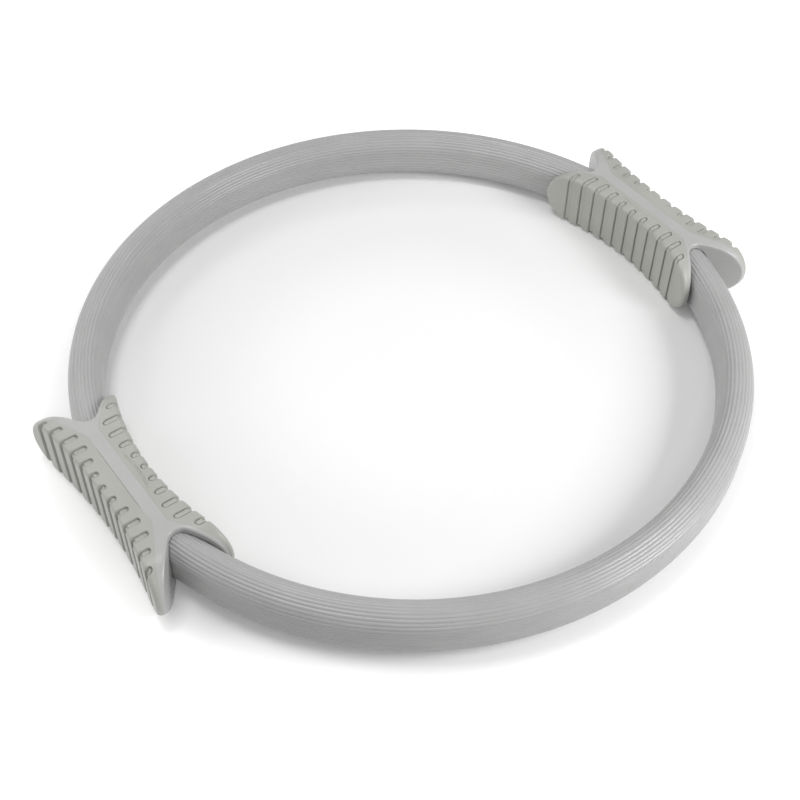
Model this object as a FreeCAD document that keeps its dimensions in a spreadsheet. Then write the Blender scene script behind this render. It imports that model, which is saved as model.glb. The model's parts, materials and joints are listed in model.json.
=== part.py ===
import FreeCAD, Part
import math
import os

# Pilates ring: a hoop of two nested spring bands in ribbed soft sleeves, with two opposite grips
# that have palm pads on both sides. Millimetres. +X runs through the grips and +Z is up. The origin
# lies on the floor under the ring's centre, and the grips stand on the floor.

SIZES = {
    # Hoop
    "ring_diameter": 380.0,
    "sleeve_width": 18.5,
    "sleeve_height": 29.5,
    "sleeve_entry": 8.5,
    "rib_depth": 0.3,
    "band_height": 20.0,
    "band_thickness": 2.4,
    "band_butt_gap": 1.0,
    # Grip outline
    "grip_height": 36.0,
    "outer_wall": 3.6,
    "inner_wall": 6.5,
    "outer_pad_length": 136.0,
    "inner_pad_length": 124.0,
    "outer_flare": 7.6,
    "edge_round": 3.0,
    # Pads, and the land and rims of the core between them
    "pad_thickness": 4.0,
    "lip_thickness": 3.2,
    "outer_lip": 11.5,
    "inner_lip": 10.1,
    "outer_lip_straight": 68.0,
    "inner_lip_straight": 72.0,
    "land_length": 87.4,
    "notch_round": 6.5,
    "wing_tip": 5.0,
    "rim_tip": 1.8,
    "rim_round": 1.4,
    # Slots in the pads
    "slot_width": 3.6,
    "slot_depth": 1.5,
    "slot_reach": 10.9,
    "outer_slot_pitch": 9.37,
    "inner_slot_pitch": 9.21,
    # Clamp plates and rivets that hold the bands in each grip
    "clamp_length": 44.0,
    "clamp_height": 16.0,
    "clamp_thickness": 1.2,
    "rivet_diameter": 4.0,
    "rivet_head_diameter": 6.5,
    "rivet_head_height": 1.0,
    "rivet_edge": 5.0,
    # Screws that join the two halves of each core
    "screw_diameter": 3.0,
    "screw_head_diameter": 5.0,
    "screw_head_height": 2.0,
    "screw_length": 22.0,
    "screw_spacing": 60.0,
    # Fits
    "running_play": 0.3,
    "sleeve_play": 0.4,
    "seat_play": 0.1,
    # How far a cutting shape runs past the piece that it cuts
    "overrun": 5.0,
}

# Reach of each slot over the pad's edge, from the middle slot to the last one, as shares of slot_reach.
OUTER_SLOT_SHARES = (0.385, 0.47, 0.66, 0.85, 0.89, 0.65, 0.39)
INNER_SLOT_SHARES = (0.45, 0.53, 0.75, 0.96, 1.0, 0.615)
RIB_COUNT = 38
RIB_CREST_SHARE = 0.5
FLOOR_ROUND_SHARE = 0.5
SAME_PLACE_SHARE = 1e-6
UPRIGHT_SHARE = 0.5
RIVET_COUNT = 4
SOLIDS_PER_GROUP = 4

doc = FreeCAD.newDocument("pilates_ring")
sheet = doc.addObject("Spreadsheet::Sheet", "Sizes")
for row, (alias, value) in enumerate(SIZES.items(), start=1):
    sheet.set("A%d" % row, alias)
    sheet.set("B%d" % row, str(value))
    sheet.setAlias("B%d" % row, alias)
doc.recompute()


def size(alias):
    """A driving dimension, in millimetres."""
    return float(sheet.get(alias))


def vec(x, y, z=0.0):
    return FreeCAD.Vector(x, y, z)


# Levels and radii that several pieces share. Grip shapes are drawn about the ring's mid plane, z = 0.
mid_height = size("grip_height") / 2
overrun = size("overrun")
play = size("running_play")
hoop_radius = size("ring_diameter") / 2
mid_radius = hoop_radius - size("sleeve_width") / 2
band_inner_face = mid_radius - play / 2 - size("band_thickness")
band_outer_face = mid_radius + play / 2 + size("band_thickness")
clamp_inner_face = band_inner_face - play - size("clamp_thickness")
clamp_outer_face = band_outer_face + play + size("clamp_thickness")
rivet_inner_end = clamp_inner_face - size("seat_play") - size("rivet_head_height")
rivet_outer_end = clamp_outer_face + size("seat_play") + size("rivet_head_height")
waist_outer = hoop_radius + size("outer_wall")
waist_inner = hoop_radius - size("sleeve_width") - size("inner_wall")
outer_half = size("outer_pad_length") / 2
inner_half = size("inner_pad_length") / 2
land_half = size("land_length") / 2
land_outer = waist_outer - size("outer_lip")
land_inner = waist_inner + size("inner_lip")
land_middle = (land_outer + land_inner) / 2
arch_x = math.sqrt(mid_radius ** 2 - land_half ** 2)
flare_radius = (outer_half ** 2 + size("outer_flare") ** 2) / (2 * size("outer_flare"))
flare_centre = waist_outer + flare_radius
sleeve_end = math.asin((land_half - size("sleeve_entry")) / mid_radius)
grip_end = math.asin((outer_half + overrun) / mid_radius)

Z_AXIS = vec(0, 0, 1)


def turned(angle):
    """The place of a grip's shapes: lifted to the ring's mid plane and turned about the ring's axis."""
    return FreeCAD.Placement(vec(0, 0, mid_height), FreeCAD.Rotation(Z_AXIS, angle))


GRIPS = {"right": turned(0), "left": turned(180)}


def solid_feature(label, shape, placement):
    """A named piece with a shape worked out from the driving dimensions."""
    feature = doc.addObject("Part::Feature", label)
    feature.Label = label
    feature.Shape = shape
    feature.Placement = placement
    return feature


def polygon_face(points):
    return Part.Face(Part.makePolygon(points + points[:1]))


def upright(face, half_height):
    """Extrudes a plan outline to both sides of the mid plane."""
    lowered = face.copy()
    lowered.translate(vec(0, 0, -half_height))
    return lowered.extrude(vec(0, 0, 2 * half_height))


def about_axis(face, start, end):
    """Turns a section, drawn in the XZ plane, about the ring's axis from one angle to another."""
    section = face.copy()
    section.rotate(vec(0, 0, 0), Z_AXIS, math.degrees(start))
    return section.revolve(vec(0, 0, 0), Z_AXIS, math.degrees(end - start))


def section_box(inner, outer, half_height):
    """A rectangle in the XZ plane, from an inner to an outer radius."""
    return polygon_face([
        vec(inner, 0, -half_height), vec(outer, 0, -half_height),
        vec(outer, 0, half_height), vec(inner, 0, half_height)])


# Sleeve section: a stadium, upright in the XZ plane

def stadium_point(share, grow):
    """A point of the sleeve's outline, a share of the way round from its outermost point."""
    radius = size("sleeve_width") / 2
    flat = size("sleeve_height") - size("sleeve_width")
    way = (share % 1.0) * (2 * flat + 2 * math.pi * radius)
    reach = radius + grow
    if way < flat / 2:
        return vec(mid_radius + reach, 0, way)
    way -= flat / 2
    if way < math.pi * radius:
        turn = way / radius
        return vec(mid_radius + reach * math.cos(turn), 0, flat / 2 + reach * math.sin(turn))
    way -= math.pi * radius
    if way < flat:
        return vec(mid_radius - reach, 0, flat / 2 - way)
    way -= flat
    if way < math.pi * radius:
        turn = math.pi + way / radius
        return vec(mid_radius + reach * math.cos(turn), 0, -flat / 2 + reach * math.sin(turn))
    return vec(mid_radius + reach, 0, way - math.pi * radius - flat / 2)


def sleeve_section():
    """Ribs side by side round the stadium, each an arc between two valleys, and the bore for the bands."""
    ribs = []
    for rib in range(RIB_COUNT):
        valley = stadium_point(rib / RIB_COUNT, -size("rib_depth"))
        crest = stadium_point((rib + RIB_CREST_SHARE) / RIB_COUNT, 0)
        next_valley = stadium_point((rib + 1) / RIB_COUNT, -size("rib_depth"))
        ribs.append(Part.Arc(valley, crest, next_valley).toShape())
    bore = section_box(band_inner_face - play, band_outer_face + play, size("band_height") / 2 + play)
    return Part.Face(Part.Wire(ribs)).cut(bore).Faces[0]


def socket_section():
    """The plain stadium with the sleeve's play round it, which the grips leave free."""
    half_width = size("sleeve_width") / 2 + size("sleeve_play")
    half_flat = (size("sleeve_height") - size("sleeve_width")) / 2
    inside = mid_radius - half_width
    outside = mid_radius + half_width
    top = vec(mid_radius, 0, half_flat + half_width)
    bottom = vec(mid_radius, 0, -half_flat - half_width)
    inside_top = vec(inside, 0, half_flat)
    inside_bottom = vec(inside, 0, -half_flat)
    outside_top = vec(outside, 0, half_flat)
    outside_bottom = vec(outside, 0, -half_flat)
    edges = [
        Part.Arc(outside_top, top, inside_top).toShape(),
        Part.LineSegment(inside_top, inside_bottom).toShape(),
        Part.Arc(inside_bottom, bottom, outside_bottom).toShape(),
        Part.LineSegment(outside_bottom, outside_top).toShape()]
    return Part.Face(Part.Wire(edges))


# Grip outline: the outer face is a hollow arc that flares at its ends, the inner one follows the hoop

class GripSide:
    """One side of a grip: its face in plan, how long it is, and which way it looks."""

    def __init__(self, radius, centre, outwards, half, pitch, shares):
        self.radius = radius
        self.centre = centre
        self.outwards = outwards
        self.half = half
        self.pitch = pitch
        self.shares = shares

    def face_x(self, across, inset=0.0):
        """Distance of the face from the ring's axis plane, at a place along the grip."""
        return self.centre - self.outwards * math.sqrt((self.radius + inset) ** 2 - across ** 2)

    def block(self, face_inset=0.0, edge_inset=0.0, rounding=0.0):
        """The side's whole body, from the arches' middle to its face, with round ends seen from the side."""
        end = self.half - edge_inset
        half_height = mid_height - edge_inset
        round_centre = self.half - mid_height
        low = vec(self.face_x(-end, face_inset), -end)
        high = vec(self.face_x(end, face_inset), end)
        face_arc = Part.Arc(low, vec(self.face_x(0, face_inset), 0), high)
        sides = [
            face_arc.toShape(), Part.LineSegment(high, vec(arch_x, end)).toShape(),
            Part.LineSegment(vec(arch_x, end), vec(arch_x, -end)).toShape(),
            Part.LineSegment(vec(arch_x, -end), low).toShape()]
        plan = upright(Part.Face(Part.Wire(sides)), half_height)
        start = min(arch_x, low.x, self.face_x(0, face_inset)) - overrun
        stop = max(arch_x, low.x, self.face_x(0, face_inset)) + overrun
        tip = round_centre + half_height
        high_top = vec(start, round_centre, half_height)
        high_bottom = vec(start, round_centre, -half_height)
        low_top = vec(start, -round_centre, half_height)
        low_bottom = vec(start, -round_centre, -half_height)
        rim = [
            Part.Arc(high_top, vec(start, tip, 0), high_bottom).toShape(),
            Part.LineSegment(high_bottom, low_bottom).toShape(),
            Part.Arc(low_bottom, vec(start, -tip, 0), low_top).toShape(),
            Part.LineSegment(low_top, high_top).toShape()]
        profile = Part.Face(Part.Wire(rim)).extrude(vec(stop - start, 0))
        body = plan.common(profile)
        if rounding:
            body = body.makeFillet(rounding, self.face_edges(body, face_inset))
        return body

    def face_edges(self, body, face_inset):
        """The edges round the face that the palm presses."""
        wanted = self.radius + face_inset
        slack = wanted * SAME_PLACE_SHARE
        for face in body.Faces:
            surface = face.Surface
            if isinstance(surface, Part.Cylinder) and abs(surface.Radius - wanted) < slack:
                return face.OuterWire.Edges
        raise RuntimeError("a grip's face was not found")

    def slots(self):
        """Upright grooves that wrap over the top and bottom edges, each with a round end."""
        floor = self.block(size("slot_depth"), size("slot_depth"), size("edge_round") * FLOOR_ROUND_SHARE)
        half_width = size("slot_width") / 2
        last = len(self.shares) - 1
        grooves = []
        for number in range(-last, last + 1):
            across = number * self.pitch
            reach = self.shares[abs(number)] * size("slot_reach")
            face = self.face_x(across)
            mouth = face + self.outwards * overrun
            end = face - self.outwards * (reach - half_width)
            round_end = Part.Arc(
                vec(end, across - half_width), vec(end - self.outwards * half_width, across),
                vec(end, across + half_width))
            sides = [
                round_end.toShape(),
                Part.LineSegment(vec(end, across + half_width), vec(mouth, across + half_width)).toShape(),
                Part.LineSegment(vec(mouth, across + half_width), vec(mouth, across - half_width)).toShape(),
                Part.LineSegment(vec(mouth, across - half_width), vec(end, across - half_width)).toShape()]
            strip = upright(Part.Face(Part.Wire(sides)), mid_height + overrun)
            grooves.append(strip.cut(floor))
        return grooves


OUTER = GripSide(flare_radius, flare_centre, 1, outer_half, size("outer_slot_pitch"), OUTER_SLOT_SHARES)
INNER = GripSide(waist_inner, 0.0, -1, inner_half, size("inner_slot_pitch"), INNER_SLOT_SHARES)
SIDES = {"outer": OUTER, "inner": INNER}


def wing_tip(side):
    """The point at a wing's tip where the notch ends."""
    return vec(side.face_x(side.half) - side.outwards * size("wing_tip"), side.half)


def tangent_point(centre, radius, tip, turn):
    """Where a line from a wing's tip touches the round bottom of the notch."""
    way = tip - centre
    angle = math.atan2(way.y, way.x) + turn * math.acos(radius / way.Length)
    return centre + vec(radius * math.cos(angle), radius * math.sin(angle))


def notch(end):
    """The open arch at one end of a grip, from its round bottom out between the wings' tips."""
    radius = size("notch_round")
    centre = vec(arch_x, land_half + radius)
    outer_tip = wing_tip(OUTER)
    inner_tip = wing_tip(INNER)
    outer_touch = tangent_point(centre, radius, outer_tip, -1)
    inner_touch = tangent_point(centre, radius, inner_tip, 1)
    outer_far = outer_tip + (outer_tip - outer_touch).normalize() * overrun
    inner_far = inner_tip + (inner_tip - inner_touch).normalize() * overrun
    bottom = centre - vec(0, radius)
    beyond = outer_half + 2 * overrun
    outline = [outer_far, vec(outer_far.x, beyond), vec(inner_far.x, beyond), inner_far, inner_touch]
    sides = [Part.makePolygon([outer_touch] + outline), Part.Arc(inner_touch, bottom, outer_touch).toShape()]
    edges = [edge for side in sides for edge in side.Edges]
    face = Part.Face(Part.Wire(edges))
    if end < 0:
        face = face.mirror(vec(0, 0, 0), vec(0, 1, 0))
    return upright(face, mid_height + overrun)


def rim_edges(body, arches):
    """The edges where an arch's walls meet the rest of the body."""
    slack = mid_radius * SAME_PLACE_SHARE
    found = []
    for edge in body.Edges:
        middle = edge.valueAt((edge.FirstParameter + edge.LastParameter) / 2)
        upright_line = isinstance(edge.Curve, Part.Line) and abs(edge.Curve.Direction.z) > UPRIGHT_SHARE
        if not upright_line and min(arch.distToShape(Part.Vertex(middle))[0] for arch in arches) < slack:
            found.append(edge)
    return found


def rounded_side(side):
    """A side's whole body without the arches, rounded along its face and along the arches' rims."""
    arches = [notch(1), notch(-1)]
    body = side.block().cut(arches)
    body = body.makeFillet(size("edge_round"), side.face_edges(body, 0))
    return body.makeFillet(size("rim_round"), rim_edges(body, arches))


def land_and_rims():
    """The part of the core that shows between the pads: the land, forked into the wings' rims."""
    corners = {}
    edges = (
        ("outer", land_outer, size("outer_lip_straight")),
        ("inner", land_inner, size("inner_lip_straight")))
    for name, land_edge, straight in edges:
        side = SIDES[name]
        knee = vec(land_edge, straight / 2)
        tip = wing_tip(side) + vec(side.outwards * size("rim_tip"), 0)
        far = tip + (tip - knee).normalize() * overrun
        corners[name] = [far, knee, vec(knee.x, -knee.y), vec(far.x, -far.y)]
    return upright(polygon_face(corners["outer"] + corners["inner"][::-1]), mid_height + overrun)


def screw_places():
    """Plan places of the four screws, between the land's edge and the core's side, under the pads' lips."""
    across = size("screw_spacing") / 2
    outer_x = (land_outer + OUTER.face_x(across, size("pad_thickness"))) / 2
    inner_x = (land_inner + INNER.face_x(across, size("pad_thickness"))) / 2
    return [vec(x, y) for x in (outer_x, inner_x) for y in (-across, across)]


screw_head_level = -(mid_height - size("lip_thickness"))
screw_seat_level = screw_head_level + size("screw_head_height")
screw_tip_level = screw_seat_level + size("screw_length")


def screw_bores():
    """Holes for the screws' shanks and pockets for their heads, open at the core's underside."""
    bores = []
    for place in screw_places():
        shank = Part.makeCylinder(
            size("screw_diameter") / 2 + size("seat_play"), size("screw_length") + size("seat_play"),
            place + vec(0, 0, screw_seat_level))
        head = Part.makeCylinder(
            size("screw_head_diameter") / 2 + size("seat_play"), size("screw_head_height"),
            place + vec(0, 0, screw_head_level))
        bores += [shank, head]
    return bores


def sleeve_sockets():
    """Room for the sleeves' ends and for the hoop past the wings, at both ends of a grip."""
    start = sleeve_end - size("sleeve_play") / mid_radius
    section = socket_section()
    return [about_axis(section, start, grip_end), about_axis(section, -grip_end, -start)]


def band_channel():
    """Room for the bands right through the core, and wider room for the clamp in its middle."""
    half_height = size("band_height") / 2 + play
    clamp_half = (size("clamp_length") / 2 + play) / mid_radius
    bands = section_box(band_inner_face - play, band_outer_face + play, half_height)
    clamp = section_box(rivet_inner_end - play, rivet_outer_end + play, half_height)
    return [about_axis(bands, -sleeve_end, sleeve_end), about_axis(clamp, -clamp_half, clamp_half)]


# Whole sides with rounded faces, the core's body inside the pads, and the shapes that open the ends
whole = {name: rounded_side(side) for name, side in SIDES.items()}
core_body = {name: side.block(size("pad_thickness"), size("lip_thickness")) for name, side in SIDES.items()}
shown_core = land_and_rims()
open_ends = [notch(1), notch(-1)] + sleeve_sockets()

hollows = open_ends + band_channel() + screw_bores()
core_pieces = [core_body["outer"], core_body["inner"]]
core_pieces += [whole[name].common(shown_core) for name in SIDES]
opened = [piece.cut(hollows) for piece in core_pieces]
core = opened[0].fuse(opened[1:]).removeSplitter()
half_reach = 2 * (hoop_radius + size("outer_flare"))
half_space = Part.makeBox(half_reach, half_reach, mid_height + overrun, vec(0, -half_reach / 2))
core_upper = core.common(half_space)
core_lower = core.cut(half_space)

# Pads: what lies outside the core, to either side of the land
outside_core = []
for name, side in SIDES.items():
    outside_core += whole[name].cut([core_body[name], shown_core] + open_ends + side.slots()).Solids
pads = {}
for name, side in SIDES.items():
    own = [piece for piece in outside_core if (piece.CenterOfMass.x - land_middle) * side.outwards > 0]
    pads[name] = own[0].multiFuse(own[1:])

nodes = []
for grip, place in GRIPS.items():
    nodes.append(solid_feature(grip + "_core_upper", core_upper, place))
    nodes.append(solid_feature(grip + "_core_lower", core_lower, place))
    for name, pad in pads.items():
        nodes.append(solid_feature(grip + "_pad_" + name, pad, place))

# Sleeves: the same half hoop twice
sleeve = about_axis(sleeve_section(), sleeve_end, math.pi - sleeve_end)
nodes.append(solid_feature("sleeve_back", sleeve, turned(0)))
nodes.append(solid_feature("sleeve_front", sleeve, turned(180)))


# Pieces made of cylinders

def cylinder(label, radius, height, placement, angle=None):
    """A cylinder, or a sector of one, whose sizes are expressions of the driving dimensions."""
    shape = doc.addObject("Part::Cylinder", label)
    shape.Label = label
    shape.setExpression("Radius", radius)
    shape.setExpression("Height", height)
    if angle:
        shape.setExpression("Angle", angle)
    shape.Placement = placement
    return shape


def cut(label, base, tool):
    shape = doc.addObject("Part::Cut", label)
    shape.Label = label
    shape.Base = base
    shape.Tool = tool
    return shape


def group(kind, label, members):
    """A fuse or a compound of several objects."""
    shape = doc.addObject(kind, label)
    shape.Label = label
    if kind == "Part::MultiFuse":
        shape.Shapes = members
    else:
        shape.Links = members
    return shape


MID_RADIUS = "(Sizes.ring_diameter - Sizes.sleeve_width) / 2"
BAND_INSIDE = MID_RADIUS + " - Sizes.running_play / 2"
BAND_OUTSIDE = MID_RADIUS + " + Sizes.running_play / 2"
TURN_PER_LENGTH = " * 180 / pi / (" + MID_RADIUS + ")"


def hoop_strip(label, inner_radius, outer_radius, height, turn, start, level):
    """A strip bent round the ring's axis: the space between two cylinders, over an angle."""
    place = FreeCAD.Placement(vec(0, 0, level), FreeCAD.Rotation(Z_AXIS, start))
    below = FreeCAD.Placement(vec(0, 0, level - overrun), FreeCAD.Rotation())
    outside = cylinder(label + "_outside", outer_radius, height, place, turn)
    inside = cylinder(label + "_inside", inner_radius, height + " + 2 * Sizes.overrun", below)
    return cut(label + "_strip", outside, inside)


def rivet_frames(grip):
    """Frames at the rivets of one grip, each with its axis along the rivet and outwards."""
    first = size("rivet_edge") - size("clamp_length") / 2
    pitch = -2 * first / (RIVET_COUNT - 1)
    lay = FreeCAD.Rotation(vec(0, 1, 0), 90)
    frames = []
    for number in range(RIVET_COUNT):
        turn = FreeCAD.Rotation(Z_AXIS, math.degrees((first + number * pitch) / mid_radius))
        frames.append(GRIPS[grip].multiply(FreeCAD.Placement(vec(0, 0, 0), turn.multiply(lay))))
    return frames


def along_axis(frame, distance):
    """The frame moved along its own axis."""
    return frame.multiply(FreeCAD.Placement(vec(0, 0, distance), FreeCAD.Rotation()))


def rivet_holes(label, grips):
    """Clearance holes for the rivets of the given grips, right through bands and plates."""
    radius = size("rivet_diameter") / 2 + play
    length = rivet_outer_end - rivet_inner_end + 2 * overrun
    frames = [along_axis(frame, rivet_inner_end - overrun) for grip in grips for frame in rivet_frames(grip)]
    holes = [
        Part.makeCylinder(radius, length, frame.Base, frame.Rotation.multVec(Z_AXIS))
        for frame in frames]
    return solid_feature(label, Part.Compound(holes), FreeCAD.Placement())


def pierced(label, strip, grips):
    """A strip with the rivets' holes in it."""
    return cut(label, strip, rivet_holes(label + "_holes", grips))


band_level = mid_height - size("band_height") / 2
butt_turn = math.degrees(size("band_butt_gap") / mid_radius)
BAND_TURN = "360 - Sizes.band_butt_gap" + TURN_PER_LENGTH
BANDS = {
    "band_inner": (BAND_INSIDE + " - Sizes.band_thickness", BAND_INSIDE, 0),
    "band_outer": (BAND_OUTSIDE, BAND_OUTSIDE + " + Sizes.band_thickness", 180),
}
for label, (inner_radius, outer_radius, butt_place) in BANDS.items():
    strip = hoop_strip(
        label, inner_radius, outer_radius, "Sizes.band_height", BAND_TURN,
        butt_place + butt_turn / 2, band_level)
    nodes.append(pierced(label, strip, GRIPS))

clamp_level = mid_height - size("clamp_height") / 2
clamp_turn = math.degrees(size("clamp_length") / mid_radius)
CLAMP_TURN = "Sizes.clamp_length" + TURN_PER_LENGTH
CLAMP_INSIDE = BAND_INSIDE + " - Sizes.band_thickness - Sizes.running_play"
CLAMP_OUTSIDE = BAND_OUTSIDE + " + Sizes.band_thickness + Sizes.running_play"
CLAMPS = {
    "clamp_plate_inner": (CLAMP_INSIDE + " - Sizes.clamp_thickness", CLAMP_INSIDE),
    "clamp_plate_outer": (CLAMP_OUTSIDE, CLAMP_OUTSIDE + " + Sizes.clamp_thickness"),
}
for grip, grip_place in (("right", 0), ("left", 180)):
    for name, (inner_radius, outer_radius) in CLAMPS.items():
        label = grip + "_" + name
        strip = hoop_strip(
            label, inner_radius, outer_radius, "Sizes.clamp_height", CLAMP_TURN,
            grip_place - clamp_turn / 2, clamp_level)
        nodes.append(pierced(label, strip, [grip]))

RIVET_SHANK = "Sizes.rivet_diameter / 2"
RIVET_HEAD = "Sizes.rivet_head_diameter / 2"
HEAD_HEIGHT = "Sizes.rivet_head_height"
SHANK_LENGTH = (
    "2 * (Sizes.band_thickness + Sizes.clamp_thickness + Sizes.seat_play) + 3 * Sizes.running_play")
for grip in GRIPS:
    rivets = []
    for number, frame in enumerate(rivet_frames(grip), start=1):
        label = "%s_rivet_%d" % (grip, number)
        shank_start = rivet_inner_end + size("rivet_head_height")
        shank_end = rivet_outer_end - size("rivet_head_height")
        rivets.append(group("Part::MultiFuse", label, [
            cylinder(label + "_shank", RIVET_SHANK, SHANK_LENGTH, along_axis(frame, shank_start)),
            cylinder(label + "_head", RIVET_HEAD, HEAD_HEIGHT, along_axis(frame, rivet_inner_end)),
            cylinder(label + "_upset", RIVET_HEAD, HEAD_HEIGHT, along_axis(frame, shank_end))]))
    nodes.append(group("Part::Compound", grip + "_clamp_rivets", rivets))

for grip, grip_frame in GRIPS.items():
    screws = []
    for number, place in enumerate(screw_places(), start=1):
        label = "%s_screw_%d" % (grip, number)
        stand = grip_frame.multiply(FreeCAD.Placement(place, FreeCAD.Rotation()))
        screws.append(group("Part::MultiFuse", label, [
            cylinder(label + "_head", "Sizes.screw_head_diameter / 2", "Sizes.screw_head_height",
                     along_axis(stand, screw_head_level)),
            cylinder(label + "_shank", "Sizes.screw_diameter / 2", "Sizes.screw_length",
                     along_axis(stand, screw_seat_level))]))
    nodes.append(group("Part::Compound", grip + "_core_screws", screws))

doc.recompute()

failed = [item.Label for item in doc.Objects if "Invalid" in item.State or "Error" in item.State]
if failed:
    raise RuntimeError("objects that failed: " + ", ".join(failed))
for node in nodes:
    shape = node.Shape
    expected = SOLIDS_PER_GROUP if node.TypeId == "Part::Compound" else 1
    if shape.isNull() or not shape.isValid() or len(shape.Solids) != expected:
        raise RuntimeError("%s is not sound: %d solids" % (node.Label, len(shape.Solids)))

os.makedirs("parts", exist_ok=True)
for node in nodes:
    node.Shape.exportStep("parts/%s.step" % node.Label)
    box = node.Shape.BoundBox
    print("%-26s %9.1f mm3  x %.1f %.1f  y %.1f %.1f  z %.1f %.1f" % (
        node.Label, node.Shape.Volume, box.XMin, box.XMax, box.YMin, box.YMax, box.ZMin, box.ZMax))
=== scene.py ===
import json
import math

import bmesh
import bpy
import numpy as np
from mathutils import Matrix, Vector

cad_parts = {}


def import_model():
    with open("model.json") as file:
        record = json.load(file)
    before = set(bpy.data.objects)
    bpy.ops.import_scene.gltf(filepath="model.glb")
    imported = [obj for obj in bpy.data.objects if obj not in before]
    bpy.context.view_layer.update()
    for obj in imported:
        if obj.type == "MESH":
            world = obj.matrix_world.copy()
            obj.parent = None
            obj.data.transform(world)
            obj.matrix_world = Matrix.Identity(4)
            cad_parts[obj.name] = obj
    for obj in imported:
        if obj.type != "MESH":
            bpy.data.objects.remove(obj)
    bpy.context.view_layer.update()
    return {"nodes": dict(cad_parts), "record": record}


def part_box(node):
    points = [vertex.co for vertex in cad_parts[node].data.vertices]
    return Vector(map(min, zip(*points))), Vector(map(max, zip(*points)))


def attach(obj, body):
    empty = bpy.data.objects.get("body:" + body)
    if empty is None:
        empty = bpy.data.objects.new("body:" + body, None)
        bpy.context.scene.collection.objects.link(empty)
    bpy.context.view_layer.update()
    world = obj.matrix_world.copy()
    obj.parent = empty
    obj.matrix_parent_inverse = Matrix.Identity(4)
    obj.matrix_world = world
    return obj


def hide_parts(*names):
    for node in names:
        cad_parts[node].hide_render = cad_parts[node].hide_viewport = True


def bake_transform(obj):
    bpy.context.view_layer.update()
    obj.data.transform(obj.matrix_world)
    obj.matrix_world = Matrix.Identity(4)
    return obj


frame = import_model()

# Pilates ring: a hoop of two spring bands in ribbed foam sleeves, with two padded grips. Metres, +Z up.
# Shapes of a grip are worked out for the right grip, about the ring's mid plane, and the left grip is the
# same shape after half a turn about the ring's axis.

MM = 0.001

# Hoop
GRIP_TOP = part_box("right_core_upper")[1].z
MID_HEIGHT = GRIP_TOP / 2
HOOP_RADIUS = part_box("sleeve_back")[1].y
SLEEVE_WIDTH = 18.5 * MM
SLEEVE_HEIGHT = 29.5 * MM
MID_RADIUS = HOOP_RADIUS - SLEEVE_WIDTH / 2
SLEEVE_END = math.asin(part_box("sleeve_back")[0].y / (HOOP_RADIUS - SLEEVE_WIDTH))
RIB_COUNT = 38
RIB_DEPTH = 0.34 * MM
BAND_HEIGHT = 20 * MM
BAND_THICKNESS = 2.4 * MM
BAND_GAP = 0.3 * MM
BAND_BUTT_GAP = 1.0 * MM

# Grip outline in plan, and its pads
WAIST_OUTER = HOOP_RADIUS + 3.6 * MM
WAIST_INNER = HOOP_RADIUS - SLEEVE_WIDTH - 6.5 * MM
OUTER_HALF = 68 * MM
INNER_HALF = 62 * MM
OUTER_FLARE = 7.6 * MM
FLARE_RADIUS = (OUTER_HALF ** 2 + OUTER_FLARE ** 2) / (2 * OUTER_FLARE)
EDGE_ROUND = 3 * MM
PAD_THICKNESS = 4 * MM
LIP_THICKNESS = 3.2 * MM
TIP_LIP = 3.2 * MM
SLOT_WIDTH = 3.6 * MM
SLOT_DEPTH = 1.5 * MM
SLOT_GAP = 0.42 * MM
SLOT_REACH = 10.9 * MM
SLOT_WALL = 0.15 * MM
SLOT_ROUND = 0.4 * MM
BEND_DEPTH = 0.6 * MM
BEND_ROUND = 0.4 * MM

# Creases of the pads near the land
SEAM_ROUND = 0.5 * MM
SEAM_HALF = 26 * MM
CREASE_HALF = 17 * MM
CREASE_BOW = 2.4 * MM
CREASE_OFFSETS = (0.8 * MM, 1.6 * MM)
CREASE_WIDTH = 0.22 * MM
CREASE_DEPTH = 0.34 * MM

# Camera of the photograph, whose image is 800 by 800 pixels
IMAGE_SIZE = 800
FOCAL_PIXELS = 1276.0
CENTRE_PIXEL = (410.0, 348.5)
CAMERA_DISTANCE = 0.7228
CAMERA_AZIMUTH = math.radians(37.58)
CAMERA_ELEVATION = math.radians(46.28)
CAMERA_ROLL = math.radians(1.23)
SENSOR_WIDTH = 36.0


# Meshes from arrays

MERGE_DISTANCE = 0.001 * MM
SHARP_ANGLE = math.radians(50)


def quads_of(rows, columns, close_rows, close_columns):
    """Corner numbers of the quads of a grid, whose last row or column joins the first where it is closed."""
    row = np.arange(rows if close_rows else rows - 1)[:, None]
    column = np.arange(columns if close_columns else columns - 1)[None, :]
    next_row = (row + 1) % rows
    next_column = (column + 1) % columns
    corners = np.broadcast_arrays(
        row * columns + column, next_row * columns + column,
        next_row * columns + next_column, row * columns + next_column)
    return np.stack(corners, axis=-1).reshape(-1, 4)


def facing_out(points, quads):
    """The quads, turned over if the volume that they enclose comes out negative."""
    a, b, c, d = (points[quads[:, corner]] for corner in range(4))
    volume = np.einsum("ij,ij->", a, np.cross(b, c)) + np.einsum("ij,ij->", a, np.cross(c, d))
    return quads if volume > 0 else quads[:, ::-1]


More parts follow.
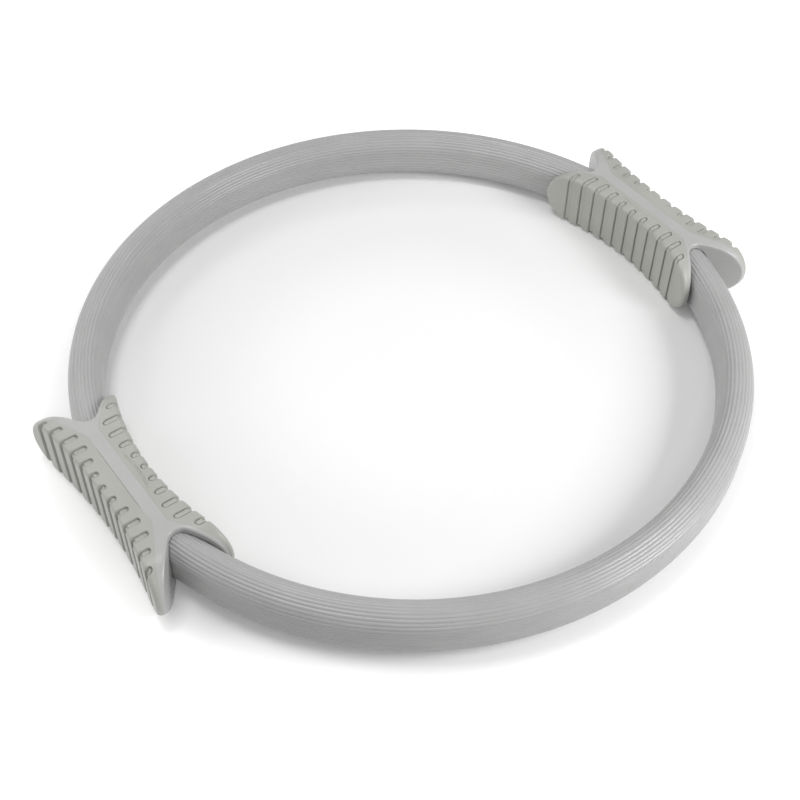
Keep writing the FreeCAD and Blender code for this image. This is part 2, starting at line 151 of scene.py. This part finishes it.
def solid(name, grid, close_rows=True, close_columns=True, lengths=None):
    """A closed piece from a grid of points. Its UV map holds lengths, in metres, where they are given."""
    rows, columns = grid.shape[:2]
    points = grid.reshape(-1, 3)
    quads = facing_out(points, quads_of(rows, columns, close_rows, close_columns))
    mesh = bpy.data.meshes.new(name)
    mesh.from_pydata(points.tolist(), [], quads.tolist())
    if lengths is not None:
        layer = mesh.uv_layers.new(name="lengths")
        layer.data.foreach_set("uv", lengths.reshape(-1, 2)[quads.ravel()].astype(np.float32).ravel())
    shell = bmesh.new()
    shell.from_mesh(mesh)
    bmesh.ops.remove_doubles(shell, verts=shell.verts, dist=MERGE_DISTANCE)
    bmesh.ops.dissolve_degenerate(shell, edges=shell.edges, dist=MERGE_DISTANCE)
    open_rims = [edge for edge in shell.edges if edge.is_boundary]
    if open_rims:
        bmesh.ops.holes_fill(shell, edges=open_rims)
    shell.to_mesh(mesh)
    shell.free()
    mesh.shade_smooth()
    mesh.set_sharp_from_angle(angle=SHARP_ANGLE)
    piece = bpy.data.objects.new(name, mesh)
    bpy.context.scene.collection.objects.link(piece)
    return piece


def half_turned(grid, grip):
    """The right grip's points, or the left grip's: half a turn about the ring's axis."""
    sign = 1 if grip == "right" else -1
    return grid * np.array([sign, sign, 1]) + np.array([0, 0, MID_HEIGHT])


# Materials

NOISE_LOW = 0.3
NOISE_HIGH = 0.7


class Finish:
    """A material under construction: a Principled surface, and short ways to add nodes in front of it."""

    def __init__(self, name, roughness, specular=0.5, metallic=0.0):
        self.material = bpy.data.materials.new(name)
        self.material.use_nodes = True
        self.tree = self.material.node_tree
        self.surface = self.tree.nodes["Principled BSDF"]
        self.surface.inputs["Roughness"].default_value = roughness
        self.surface.inputs["Specular IOR Level"].default_value = specular
        self.surface.inputs["Metallic"].default_value = metallic

    def node(self, kind, **settings):
        node = self.tree.nodes.new(kind)
        for key, value in settings.items():
            setattr(node, key, value)
        return node

    def link(self, source, target):
        self.tree.links.new(source, target)

    def coordinates(self, source="Object", scale=(1, 1, 1)):
        """Places on the piece, stretched along its axes."""
        place = self.node("ShaderNodeTexCoord").outputs[source]
        mapping = self.node("ShaderNodeMapping")
        mapping.inputs["Scale"].default_value = scale
        self.link(place, mapping.inputs["Vector"])
        return mapping.outputs["Vector"]

    def noise(self, place, scale, detail=2.0, roughness=0.5):
        node = self.node("ShaderNodeTexNoise")
        node.inputs["Scale"].default_value = scale
        node.inputs["Detail"].default_value = detail
        node.inputs["Roughness"].default_value = roughness
        self.link(place, node.inputs["Vector"])
        return node.outputs["Fac"]

    def spread(self, value, low, high):
        """A noise value, which is mostly between its low and high, spread over a range."""
        node = self.node("ShaderNodeMapRange")
        node.inputs["From Min"].default_value = NOISE_LOW
        node.inputs["From Max"].default_value = NOISE_HIGH
        node.inputs["To Min"].default_value = low
        node.inputs["To Max"].default_value = high
        self.link(value, node.inputs["Value"])
        return node.outputs["Result"]

    def shades(self, value, dark, light):
        """A colour between two shades, by a value from 0 to 1."""
        node = self.node("ShaderNodeMix", data_type="RGBA")
        node.inputs[6].default_value = (*dark, 1)
        node.inputs[7].default_value = (*light, 1)
        self.link(value, node.inputs[0])
        self.link(node.outputs[2], self.surface.inputs["Base Color"])

    def rough(self, value, low, high):
        self.link(self.spread(value, low, high), self.surface.inputs["Roughness"])

    def bumps(self, *layers):
        """Relief from several height values, each with its height in metres."""
        normal = None
        for height, depth in layers:
            node = self.node("ShaderNodeBump")
            node.inputs["Strength"].default_value = 1.0
            node.inputs["Distance"].default_value = depth
            self.link(height, node.inputs["Height"])
            if normal is not None:
                self.link(normal, node.inputs["Normal"])
            normal = node.outputs["Normal"]
        self.link(normal, self.surface.inputs["Normal"])


def pad_rubber():
    """Soft moulded rubber: warm grey, clouded a little, with the fine grain of a blasted mould."""
    finish = Finish("pad_rubber", roughness=0.36, specular=0.55)
    place = finish.coordinates()
    clouds = finish.noise(place, 45, detail=3)
    grain = finish.noise(place, 2600, detail=2)
    finish.shades(finish.spread(clouds, 0, 1), (0.408, 0.413, 0.380), (0.444, 0.449, 0.415))
    finish.rough(grain, 0.30, 0.42)
    finish.bumps((grain, 0.02 * MM), (finish.noise(place, 300, detail=2), 0.04 * MM))
    return finish.material


def core_plastic():
    """Satin moulded plastic: light neutral grey with a fine grain."""
    finish = Finish("core_plastic", roughness=0.30, specular=0.6)
    place = finish.coordinates()
    grain = finish.noise(place, 3200, detail=2)
    clouds = finish.noise(place, 60, detail=2)
    finish.shades(finish.spread(clouds, 0, 1), (0.456, 0.456, 0.451), (0.486, 0.486, 0.481))
    finish.rough(grain, 0.24, 0.36)
    finish.bumps((grain, 0.012 * MM))
    return finish.material


def sleeve_foam():
    """Extruded foam rubber skin: neutral grey, with faint streaks along the hoop and fine pores."""
    finish = Finish("sleeve_foam", roughness=0.31, specular=0.6)
    along = finish.coordinates("UV", (1, 0.03, 1))
    place = finish.coordinates("UV")
    streaks = finish.noise(along, 700, detail=3)
    pores = finish.noise(place, 2200, detail=2)
    clouds = finish.noise(place, 55, detail=3)
    blend = finish.node("ShaderNodeMix", data_type="FLOAT")
    blend.inputs[0].default_value = 0.5
    finish.link(streaks, blend.inputs[2])
    finish.link(clouds, blend.inputs[3])
    finish.shades(finish.spread(blend.outputs[0], 0, 1), (0.385, 0.385, 0.384), (0.440, 0.440, 0.439))
    finish.rough(pores, 0.25, 0.37)
    finish.bumps((streaks, 0.03 * MM), (pores, 0.025 * MM))
    return finish.material


def band_fibreglass():
    """Pultruded fibreglass: pale amber resin with glass strands along the strip."""
    finish = Finish("band_fibreglass", roughness=0.35, specular=0.5)
    strands = finish.noise(finish.coordinates("UV", (1, 0.01, 1)), 1500, detail=4)
    finish.shades(finish.spread(strands, 0, 1), (0.42, 0.36, 0.20), (0.66, 0.60, 0.42))
    finish.rough(strands, 0.28, 0.45)
    finish.bumps((strands, 0.02 * MM))
    return finish.material


def plated_steel():
    """Zinc-plated steel with fine brushing."""
    finish = Finish("plated_steel", roughness=0.35, metallic=1.0)
    brushing = finish.noise(finish.coordinates("Object", (1, 0.05, 1)), 4000, detail=3)
    finish.shades(finish.spread(brushing, 0, 1), (0.52, 0.53, 0.54), (0.66, 0.67, 0.68))
    finish.rough(brushing, 0.28, 0.42)
    finish.bumps((brushing, 0.008 * MM))
    return finish.material


FINISHES = {
    "pad": pad_rubber(),
    "core": core_plastic(),
    "sleeve": sleeve_foam(),
    "fibreglass": band_fibreglass(),
    "steel": plated_steel(),
}


def dress(piece, slot):
    """Gives a piece the finish of a material slot."""
    piece.data.materials.clear()
    piece.data.materials.append(FINISHES[slot])


# Hoop: sleeves and bands in arcs of an eighth of a turn

EIGHTH = math.pi / 4
ARC_STEPS = 50
RIB_STEPS = 8
BAND_STEPS = 16


def stadium(share, grow):
    """Outline of a stadium: a half circle over and under two flats, by the share of the way round.

    The way starts at the middle of the outer flat. A point on a flat lies a radius from the middle line, and
    a point on a round lies a radius from that round's centre. grow is added to the radius. Gives radial
    distance from the middle line and height."""
    radius = SLEEVE_WIDTH / 2
    flat = SLEEVE_HEIGHT - SLEEVE_WIDTH
    way = np.mod(share, 1.0) * (2 * flat + 2 * math.pi * radius)
    over = np.clip((way - flat / 2) / radius, 0, math.pi)
    down = np.clip(way - flat / 2 - math.pi * radius, 0, flat)
    under = np.clip((way - 1.5 * flat - math.pi * radius) / radius, 0, math.pi)
    up = np.clip(way, 0, flat / 2) + np.clip(way - 1.5 * flat - 2 * math.pi * radius, 0, flat / 2)
    turn = over + under
    return (radius + grow) * np.cos(turn), up - down + (radius + grow) * np.sin(turn)


def ribbed_section(count):
    """The sleeve's ribbed outline: each rib a parabola across its pitch, deepest where two ribs meet."""
    share = np.arange(count * RIB_COUNT) / (count * RIB_COUNT)
    across = np.mod(share * RIB_COUNT, 1.0)
    return stadium(share, -RIB_DEPTH * (2 * across - 1) ** 2)


def box_section(share, half_width, half_height):
    """A rectangle's outline by the angle from its middle: the ray's larger coordinate is held to the side."""
    angle = 2 * math.pi * share
    ray = np.stack([np.cos(angle) / half_width, np.sin(angle) / half_height])
    reach = 1 / np.abs(ray).max(axis=0)
    return reach * np.cos(angle), reach * np.sin(angle)


def carried(section, radius, angles):
    """A section carried round the ring's axis: out along each angle by the radius and the section's width."""
    width, height = section
    x = np.cos(angles)[:, None] * (radius + width)
    y = np.sin(angles)[:, None] * (radius + width)
    return np.stack([x, y, np.broadcast_to(height + MID_HEIGHT, x.shape)], axis=-1)


def hoop_lengths(angles, count, perimeter):
    """Length round the section and length along the hoop at each point of a carried section."""
    along, round_way = np.meshgrid(angles * MID_RADIUS, np.arange(count) / count * perimeter, indexing="ij")
    return np.stack([round_way, along], axis=-1)


def bend_with_hoop(piece):
    """Bakes an eighth of the hoop's placement into its mesh."""
    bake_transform(piece)


def arc_angles(eighth, first_gap):
    """Angles along an eighth, which stops short of the grip's middle by a gap."""
    start, end = eighth * EIGHTH, (eighth + 1) * EIGHTH
    if eighth % 4 == 0:
        start += first_gap
    if eighth % 4 == 3:
        end -= first_gap
    return np.linspace(start, end, ARC_STEPS + 1)


def sleeve_arc(eighth):
    """An eighth of a foam sleeve: the ribbed outside, then back along the bore, as one closed surface."""
    half = "back" if eighth < 4 else "front"
    angles = arc_angles(eighth, SLEEVE_END)
    outside = ribbed_section(RIB_STEPS)
    count = len(outside[0])
    share = np.arange(count) / count
    bore = box_section(share, BAND_THICKNESS + 1.5 * BAND_GAP, BAND_HEIGHT / 2 + BAND_GAP)
    grid = np.concatenate([carried(outside, MID_RADIUS, angles), carried(bore, MID_RADIUS, angles)[::-1]])
    perimeter = 2 * (SLEEVE_HEIGHT - SLEEVE_WIDTH) + math.pi * SLEEVE_WIDTH
    lengths = hoop_lengths(angles, count, perimeter)
    there_and_back = np.concatenate([lengths, lengths[::-1]])
    piece = solid("sleeve_%s_%d" % (half, eighth % 4 + 1), grid, lengths=there_and_back)
    dress(piece, "sleeve")
    bend_with_hoop(piece)
    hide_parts("sleeve_" + half)


def band_arc(name, radius, butt_eighths, eighth):
    """An eighth of a spring band: a rectangle carried along the hoop, closed at both ends."""
    gap = BAND_BUTT_GAP / 2 / MID_RADIUS if eighth in butt_eighths else 0
    angles = arc_angles(eighth, gap)
    share = (np.arange(BAND_STEPS) + 0.5) / BAND_STEPS
    grid = carried(box_section(share, BAND_THICKNESS / 2, BAND_HEIGHT / 2), radius, angles)
    lengths = hoop_lengths(angles, BAND_STEPS, 2 * (BAND_HEIGHT + BAND_THICKNESS))
    piece = solid("%s_%d" % (name, eighth + 1), grid, close_rows=False, lengths=lengths)
    dress(piece, "fibreglass")
    bend_with_hoop(piece)
    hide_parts(name)


BAND_OFFSET = (BAND_THICKNESS + BAND_GAP) / 2
for eighth in range(8):
    sleeve_arc(eighth)
    band_arc("band_inner", MID_RADIUS - BAND_OFFSET, (0, 7), eighth)
    band_arc("band_outer", MID_RADIUS + BAND_OFFSET, (3, 4), eighth)


# Grip pads

BODY_STEP = 1.4 * MM
SMALLEST_STEP = 0.02 * MM
TIP_STEPS = 28
BED_STEPS = 5
EDGE_STEPS = 4
SEAM_ROWS = 6
LIP_ROWS = 60
ROUND_ROWS = 19
FACE_ROWS = 6


class PadSide:
    """One side of a grip: its face's arc in plan, which way it looks, its length and its slots.

    The slots' floors lie at one depth on the lip and at another on the face."""

    def __init__(
            self, radius, centre, outwards, half, lip, lip_straight, pitch, reaches, lip_floor, face_floor):
        self.radius = radius
        self.centre = centre
        self.outwards = outwards
        self.half = half
        self.round_start = half - MID_HEIGHT
        self.lip = lip
        self.lip_straight = lip_straight
        self.lip_floor = lip_floor
        self.face_floor = face_floor
        self.slots = [(number * pitch, reaches[abs(number)] * SLOT_REACH)
                      for number in range(1 - len(reaches), len(reaches))]

    def face_x(self, across):
        """Distance of the face from the ring's axis plane: a circular arc in plan."""
        return self.centre - self.outwards * np.sqrt(self.radius ** 2 - across ** 2)

    def lip_width(self, across):
        """Width of the lip: the face's distance from the land's edge, which turns to the tip at its end."""
        waist = self.face_x(0.0)
        straight = self.lip_straight
        edge_x = waist - self.outwards * self.lip
        tip_x = self.face_x(self.half) - self.outwards * TIP_LIP
        share = np.clip((np.abs(across) - straight) / (self.half - straight), 0, 1)
        edge = edge_x + (tip_x - edge_x) * share
        return self.outwards * (self.face_x(across) - edge)

    def columns(self):
        """Places along the pad: close together at the slots and round the tips, wider elsewhere."""
        wall = SLOT_WALL * np.array([-1.0, 0.0])
        rounding = 1 - np.cos(np.linspace(0, math.pi / 2, EDGE_STEPS + 1)[1:])
        bed = np.linspace(-SLOT_WIDTH / 2, -SLOT_GAP - 1.5 * SLOT_WALL, BED_STEPS)
        from_edge = np.concatenate([
            bed, wall, wall - SLOT_GAP, SLOT_ROUND * rounding, (SLOT_ROUND + BEND_ROUND) * rounding[1:]])
        from_middle = np.concatenate([-SLOT_WIDTH / 2 - from_edge, SLOT_WIDTH / 2 + from_edge])
        middles = np.array([place for place, _ in self.slots])
        slots = (middles[:, None] + from_middle).ravel()
        body = np.arange(-self.round_start, self.round_start, BODY_STEP)
        turn = np.linspace(0, math.pi / 2, TIP_STEPS)
        tip = self.round_start + MID_HEIGHT * np.sin(turn)
        places = np.sort(np.concatenate([slots, body, tip, -tip]))
        wide_enough = np.diff(places, prepend=-1) > SMALLEST_STEP
        return places[wide_enough]


OUTER_SIDE = PadSide(
    radius=FLARE_RADIUS, centre=WAIST_OUTER + FLARE_RADIUS, outwards=1, half=OUTER_HALF,
    lip=11.5 * MM, lip_straight=34 * MM,
    pitch=9.37 * MM, reaches=(0.385, 0.47, 0.66, 0.85, 0.89, 0.65, 0.39),
    lip_floor=1.1 * MM, face_floor=1.2 * MM)
INNER_SIDE = PadSide(
    radius=WAIST_INNER, centre=0.0, outwards=-1, half=INNER_HALF,
    lip=10.1 * MM, lip_straight=36 * MM,
    pitch=9.21 * MM, reaches=(0.45, 0.53, 0.75, 0.96, 1.0, 0.615),
    lip_floor=0.65 * MM, face_floor=0.95 * MM)


def smooth(value):
    """0 below 0, 1 above 1, and a cubic between."""
    value = np.clip(value, 0, 1)
    return value * value * (3 - 2 * value)


def slot_depth(side, across, depth, face, bend):
    """How deep the slots are at a place along the pad and a distance in from its face.

    The distance from a slot's edge is the distance from its middle line less half its width. Past the slot's
    reach, the middle of its round end takes the line's place. Outside the edge the surface rounds over as a
    quarter circle. Inside it falls as a cubic to a narrow gap and rises as a cubic to the floor, whose depth
    goes from the lip's to the face's as the surface turns, by a share of 0 to 1. Where it bends, by another
    such share, the floor is deeper and the edges are rounder."""
    bottom = SLOT_DEPTH + BEND_DEPTH * bend / 2
    floor_depth = side.lip_floor + (side.face_floor - side.lip_floor) * face + BEND_DEPTH * bend
    raised = np.clip(bottom - floor_depth, 0, None)
    radius = SLOT_ROUND + BEND_ROUND * bend
    total = np.zeros(np.broadcast(across, depth).shape)
    for place, reach in side.slots:
        past = np.clip(depth - (reach - SLOT_WIDTH / 2), 0, None)
        distance = np.hypot(across - place, past) - SLOT_WIDTH / 2
        short = np.clip(radius - distance, 0, radius)
        rounded = radius - np.sqrt(radius ** 2 - short ** 2)
        fall = (bottom - radius) * smooth(-distance / SLOT_WALL)
        rise = raised * smooth((-distance - SLOT_GAP) / SLOT_WALL)
        total = np.maximum(total, rounded + fall - rise)
    return total


def crease_depth(side, across, from_land):
    """How deep the creases are at a place along the pad and a distance from the land.

    The outer pad's edge rounds down to the land as a quarter circle. The inner pad has two fine grooves,
    Gaussian across, which bow away from the land as a parabola. Both fade out along the pad as a cubic."""
    if side.outwards > 0:
        short = np.clip(SEAM_ROUND - from_land, 0, SEAM_ROUND)
        fade = smooth(4 - 4 * np.abs(across) / SEAM_HALF)
        return fade * (SEAM_ROUND - np.sqrt(SEAM_ROUND ** 2 - short ** 2))
    bow = CREASE_BOW * np.clip(1 - (across / CREASE_HALF) ** 2, 0, 1)
    grooves = sum(np.exp(-((from_land - bow - offset) / CREASE_WIDTH) ** 2) for offset in CREASE_OFFSETS)
    return CREASE_DEPTH * grooves * smooth(4 - 4 * np.abs(across) / CREASE_HALF)


def pad_surface(side):
    """A pad's outside above the mid plane: rows from the land to the face's middle, for each place along it.

    First the lip, at the height of the grip's side outline, which is flat and then a half circle round each
    tip. Then the rounded edge and the face: rows at a set distance in from that outline, with the depth of a
    quarter circle near the outline and none further in. The slots then sink the surface along its normal."""
    across = side.columns()[:, None]
    past = np.clip(np.abs(across) - side.round_start, 0, MID_HEIGHT)
    lip = side.lip_width(across)
    seam_turn = np.linspace(0, math.pi / 2, SEAM_ROWS)
    seam = np.minimum(SEAM_ROUND, (lip - EDGE_ROUND) / 2) * (1 - np.cos(seam_turn))
    lip_share = np.linspace(0, 1, LIP_ROWS + 1)[None, 1:-1]
    lip_rows = (lip - seam[:, -1:]) * (1 - lip_share) + EDGE_ROUND * lip_share
    lip_depth = np.concatenate([lip - seam, lip_rows], axis=1)
    turn = np.linspace(0, math.pi / 2, ROUND_ROWS, endpoint=False)
    inset = np.concatenate([
        EDGE_ROUND * (1 - np.cos(turn)), np.linspace(EDGE_ROUND, MID_HEIGHT, FACE_ROWS)])[None, :]
    inset = inset * (MID_HEIGHT - past) / MID_HEIGHT
    short = np.clip(EDGE_ROUND - inset, 0, None)
    face_depth = EDGE_ROUND - np.sqrt(EDGE_ROUND ** 2 - short ** 2)
    depth = np.concatenate([lip_depth, face_depth], axis=1)
    inset = np.concatenate([np.zeros_like(lip_depth), inset], axis=1)
    height = np.sqrt(np.clip((MID_HEIGHT - inset) ** 2 - past ** 2, 0, None))
    rim = 1 - np.clip(inset / EDGE_ROUND, 0, 1)
    face = np.sqrt(1 - rim ** 2)
    reach = np.maximum(MID_HEIGHT - inset, MERGE_DISTANCE)
    bend = 4 * (rim * face) ** 2
    sunk = slot_depth(side, across, depth, face, bend) + crease_depth(side, across, lip - depth)
    along = across - np.sign(across) * sunk * rim * past / reach
    height = height - sunk * rim * height / reach
    x = side.face_x(across) - side.outwards * (depth + sunk * face)
    return np.stack([x, np.broadcast_to(along, x.shape), height], axis=-1)


def pad_inside(side):
    """A pad's inside below the mid plane: under the lip and up the back of the face, kept inside the tips."""
    across = side.columns()[:, None]
    past = np.clip(np.abs(across) - side.round_start, 0, MID_HEIGHT)
    height = np.sqrt(np.clip((MID_HEIGHT - LIP_THICKNESS) ** 2 - past ** 2, 0, None))
    lip = side.lip_width(across)
    back = np.where(height > 0, np.minimum(PAD_THICKNESS, lip), lip)
    depth = np.concatenate([lip, (lip + back) / 2, back, back], axis=1)
    levels = -height * np.array([1, 1, 1, 0.5])
    x = side.face_x(across) - side.outwards * depth
    return np.stack([x, np.broadcast_to(across, x.shape), levels], axis=-1)


def grip_pad(grip, name, side):
    """A pad: its outside from the top land to the bottom one, then its inside back up, as a closed surface."""
    node = "%s_pad_%s" % (grip, name)
    upper = pad_surface(side)
    mirror = np.array([1, 1, -1])
    inside = pad_inside(side)
    ring = np.concatenate([upper, (upper * mirror)[:, -2::-1], inside, (inside * mirror)[:, ::-1]], axis=1)
    piece = solid(node + "_skin", half_turned(ring, grip), close_rows=False)
    dress(piece, "pad")
    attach(piece, grip + "_grip")
    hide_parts(node)


for grip in ("right", "left"):
    grip_pad(grip, "outer", OUTER_SIDE)
    grip_pad(grip, "inner", INNER_SIDE)


# Pieces that keep their solid: the grips' cores, clamps and fasteners

for row in frame["record"]["subparts"]:
    if row["material_slot"] in ("core", "steel"):
        node = frame["nodes"][row["node"]]
        node.data.materials.clear()
        node.data.materials.append(FINISHES[row["material_slot"]])


# Stage. A step of the floor's emission has its first and last distance from the ring's axis, then its change.
# The steps paint light on the middle of the floor and paint shade near the hoop, where the floor stays dimmer
# than further out.

FLOOR_REACH = 4.0
FLOOR_WHITE = 0.93
# Painted light on the middle of the floor, and painted shade near the hoop, where the emission stays low
CENTRE_PAINTED_LIGHT = 0.12
RING_PAINTED_SHADE_LEVEL = 0.04
OUTSIDE_GLOW = 0.45
HORIZON_GLOW = 0.82
PAINTED_LIGHT_AND_SHADE_STEPS = (
    (0.05, 0.13, CENTRE_PAINTED_LIGHT, RING_PAINTED_SHADE_LEVEL),
    (0.172, 0.235, 0, OUTSIDE_GLOW - RING_PAINTED_SHADE_LEVEL),
    (0.4, 1.2, 0, HORIZON_GLOW - OUTSIDE_GLOW),
)
SURROUND_LIGHT = 0.26


def seen_strength(tree, seen, unseen):
    """A strength for rays that see a surface, directly, in gloss or through glass, and one for the rest."""
    rays = tree.nodes.new("ShaderNodeLightPath")
    either = rays.outputs["Is Camera Ray"]
    for kind in ("Is Glossy Ray", "Is Transmission Ray"):
        larger = tree.nodes.new("ShaderNodeMath")
        larger.operation = "MAXIMUM"
        tree.links.new(either, larger.inputs[0])
        tree.links.new(rays.outputs[kind], larger.inputs[1])
        either = larger.outputs[0]
    strength = tree.nodes.new("ShaderNodeMath")
    strength.operation = "MULTIPLY_ADD"
    strength.inputs[1].default_value = seen - unseen
    strength.inputs[2].default_value = unseen
    tree.links.new(either, strength.inputs[0])
    return strength.outputs[0]


def floor():
    """A white floor that reaches past the picture on all sides.

    Where it is seen, directly, in gloss or through glass, it glows by its distance from the ring's axis: a
    little in the middle, hardly near the hoop and most further out. So it comes out white round the shadows,
    with light painted on the middle of the floor and shade painted near the hoop. The darkness there is partly
    the lamps' real shadow and partly this painted shade. The emission is a sum of smooth steps, each from one
    distance to another and from one strength to another."""
    signs = ((-1, -1), (1, -1), (1, 1), (-1, 1))
    corners = [(FLOOR_REACH * x, FLOOR_REACH * y, 0) for x, y in signs]
    mesh = bpy.data.meshes.new("floor")
    mesh.from_pydata(corners, [], [(0, 1, 2, 3)])
    piece = bpy.data.objects.new("floor", mesh)
    bpy.context.scene.collection.objects.link(piece)
    finish = Finish("floor_white_painted_shade", roughness=0.9, specular=0.0)
    finish.surface.inputs["Base Color"].default_value = (FLOOR_WHITE, FLOOR_WHITE, FLOOR_WHITE, 1)
    finish.surface.inputs["Emission Color"].default_value = (1, 1, 1, 1)
    distance = finish.node("ShaderNodeVectorMath", operation="LENGTH")
    finish.link(finish.coordinates(), distance.inputs[0])
    painted_light_and_shade = finish.node("ShaderNodeValue").outputs[0]
    painted_light_and_shade.default_value = 0
    for values in PAINTED_LIGHT_AND_SHADE_STEPS:
        step = finish.node("ShaderNodeMapRange", interpolation_type="SMOOTHSTEP")
        for socket, value in zip(("From Min", "From Max", "To Min", "To Max"), values):
            step.inputs[socket].default_value = value
        finish.link(distance.outputs["Value"], step.inputs["Value"])
        total = finish.node("ShaderNodeMath", operation="ADD")
        finish.link(painted_light_and_shade, total.inputs[0])
        finish.link(step.outputs["Result"], total.inputs[1])
        painted_light_and_shade = total.outputs[0]
    # The summed emission paints light on the middle of the floor and paints shade near the hoop
    seen_painted_light_and_shade = finish.node("ShaderNodeMath", operation="MULTIPLY")
    finish.link(painted_light_and_shade, seen_painted_light_and_shade.inputs[0])
    finish.link(seen_strength(finish.tree, 1.0, 0.0), seen_painted_light_and_shade.inputs[1])
    finish.link(seen_painted_light_and_shade.outputs[0], finish.surface.inputs["Emission Strength"])
    mesh.materials.append(finish.material)


def world():
    """An even surround, which is white where it is seen."""
    surround = bpy.data.worlds.new("surround")
    surround.use_nodes = True
    background = surround.node_tree.nodes["Background"]
    background.inputs["Color"].default_value = (1, 1, 1, 1)
    strength = seen_strength(surround.node_tree, 1.0, SURROUND_LIGHT)
    surround.node_tree.links.new(strength, background.inputs["Strength"])
    bpy.context.scene.world = surround


def lamp(name, aside, deep, height, power, width):
    """A square lamp that shines at the ring's centre, from a place aside of the view and deep into it."""
    across = Vector((math.cos(CAMERA_AZIMUTH), -math.sin(CAMERA_AZIMUTH), 0))
    away = Vector((math.sin(CAMERA_AZIMUTH), math.cos(CAMERA_AZIMUTH), 0))
    place = aside * across + deep * away + Vector((0, 0, height))
    panel = bpy.data.lights.new(name, "AREA")
    panel.energy = power
    panel.size = width
    piece = bpy.data.objects.new(name, panel)
    piece.location = place
    piece.rotation_mode = "QUATERNION"
    piece.rotation_quaternion = place.to_track_quat("Z", "Y")
    piece.visible_camera = False
    bpy.context.scene.collection.objects.link(piece)


def photo_camera():
    """The photograph's camera.

    It stands off the ring's centre at a set azimuth, elevation and distance, is turned until that centre
    falls on its pixel, and is then rolled."""
    azimuth, elevation = CAMERA_AZIMUTH, CAMERA_ELEVATION
    right = Vector((math.cos(azimuth), -math.sin(azimuth), 0))
    level = Vector((-math.sin(azimuth), -math.cos(azimuth), 0))
    back = math.cos(elevation) * level + Vector((0, 0, math.sin(elevation)))
    up = back.cross(right)
    place = Vector((0, 0, MID_HEIGHT)) + CAMERA_DISTANCE * back
    pan = Matrix.Rotation(math.atan((CENTRE_PIXEL[0] - IMAGE_SIZE / 2) / FOCAL_PIXELS), 3, up)
    right, back = pan @ right, pan @ back
    tilt = Matrix.Rotation(math.atan((CENTRE_PIXEL[1] - IMAGE_SIZE / 2) / FOCAL_PIXELS), 3, right)
    up, back = tilt @ up, tilt @ back
    cosine, sine = math.cos(CAMERA_ROLL), math.sin(CAMERA_ROLL)
    right, up = cosine * right + sine * up, cosine * up - sine * right
    lens = bpy.data.cameras.new("photo_camera")
    lens.sensor_width = SENSOR_WIDTH
    lens.lens = SENSOR_WIDTH * FOCAL_PIXELS / IMAGE_SIZE
    lens.clip_start = 0.01
    piece = bpy.data.objects.new("photo_camera", lens)
    turn = Matrix((right, up, back)).transposed().to_4x4()
    piece.matrix_world = Matrix.Translation(place) @ turn
    bpy.context.scene.collection.objects.link(piece)
    bpy.context.scene.camera = piece


floor()
world()
lamp("right_lamp", aside=0.60, deep=-0.24, height=0.42, power=3.1, width=0.3)
lamp("left_lamp", aside=-0.65, deep=0.05, height=0.38, power=1.3, width=0.45)
lamp("front_lamp", aside=0.10, deep=-0.75, height=0.75, power=0.8, width=0.2)
lamp("top_lamp", aside=-0.25, deep=0.0, height=1.15, power=3.1, width=0.3)
lamp("back_lamp", aside=-0.43, deep=0.80, height=0.78, power=0.9, width=0.22)
photo_camera()
bpy.context.scene.view_settings.view_transform = "Standard"
